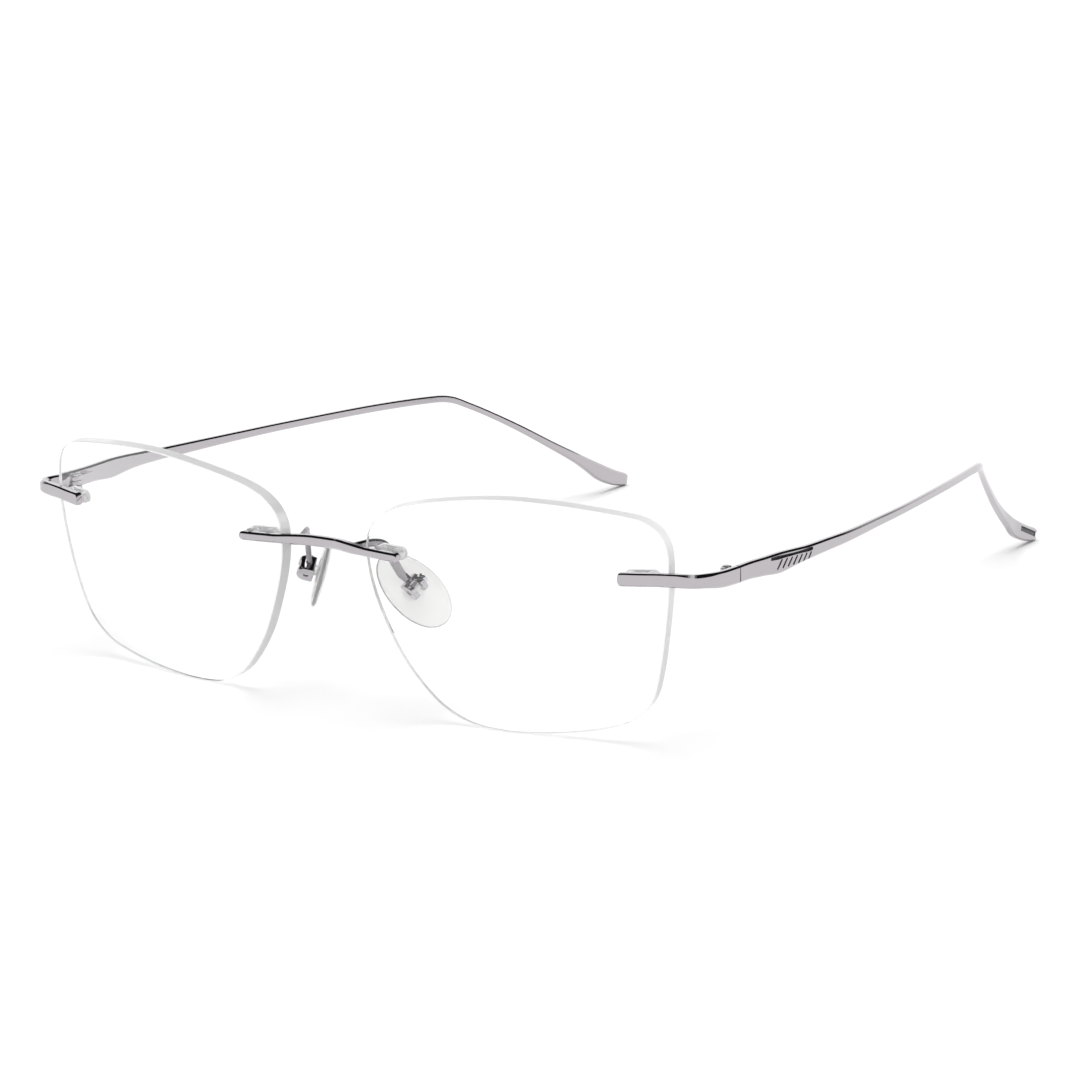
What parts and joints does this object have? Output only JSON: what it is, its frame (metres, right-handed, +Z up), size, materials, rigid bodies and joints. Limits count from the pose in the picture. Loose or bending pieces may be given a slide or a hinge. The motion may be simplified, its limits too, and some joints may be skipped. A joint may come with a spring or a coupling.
{
  "type": "eyeglasses",
  "caption": "Rimless eyeglasses: clear lenses on a drilled bridge bar and endpieces, thin folding temples on screwed hinges, and rocking nose pads.",
  "frame": {"origin": "middle of the object's bounding box at its base, on the surface that the lenses and temple tips stand on", "axes": "+X to the wearer's left, +Y back towards the temple tips, +Z up"},
  "size_m": [0.138, 0.1515, 0.0395],
  "materials": {
    "lens": "polished clear demo lens",
    "metal": "polished silver",
    "screw": "polished steel screws",
    "temple": "polished silver with a fine brushed face",
    "sleeve": "clear",
    "pad": "clear silicone",
    "stud": "clear hard plastic"
  },
  "bodies": {
    "front": {"lens_left": "lens", "lens_right": "lens", "bridge_bar": "metal", "endpiece_left": "metal", "endpiece_right": "metal", "bridge_sleeve_left": "sleeve", "bridge_sleeve_right": "sleeve", "endpiece_sleeve_left": "sleeve", "endpiece_sleeve_right": "sleeve", "pad_arm_left": "metal", "pad_arm_right": "metal", "pad_box_left": "metal", "pad_box_right": "metal", "pad_screw_left": "screw", "pad_screw_right": "screw", "hinge_fork_left": "metal", "hinge_fork_right": "metal", "hinge_screw_left": "screw", "hinge_screw_right": "screw"},
    "temple_left": {"temple_left": "temple", "hinge_tongue_left": "metal"},
    "temple_right": {"temple_right": "temple", "hinge_tongue_right": "metal"},
    "pad_left": {"nose_pad_left": "pad", "pad_stud_left": "stud"},
    "pad_right": {"nose_pad_right": "pad", "pad_stud_right": "stud"}
  },
  "joints": [
    {"name": "temple_left_fold", "type": "hinge", "parent": "front", "child": "temple_left", "pos_m": [0.0659, -0.05625, 0.0272], "axis": [0, 0, 1], "range_deg": [0, 83]},
    {"name": "temple_right_fold", "type": "hinge", "parent": "front", "child": "temple_right", "pos_m": [-0.0659, -0.05625, 0.0272], "axis": [0, 0, -1], "range_deg": [0, 79]},
    {"name": "pad_left_rock", "type": "hinge", "parent": "front", "child": "pad_left", "pos_m": [0.01134, -0.06404, 0.02031], "axis": [-0.2998, -0.7232, -0.6222], "range_deg": [-10, 10]},
    {"name": "pad_right_rock", "type": "hinge", "parent": "front", "child": "pad_right", "pos_m": [-0.01134, -0.06404, 0.02031], "axis": [0.2998, -0.7232, -0.6222], "range_deg": [-10, 10]}
  ]
}
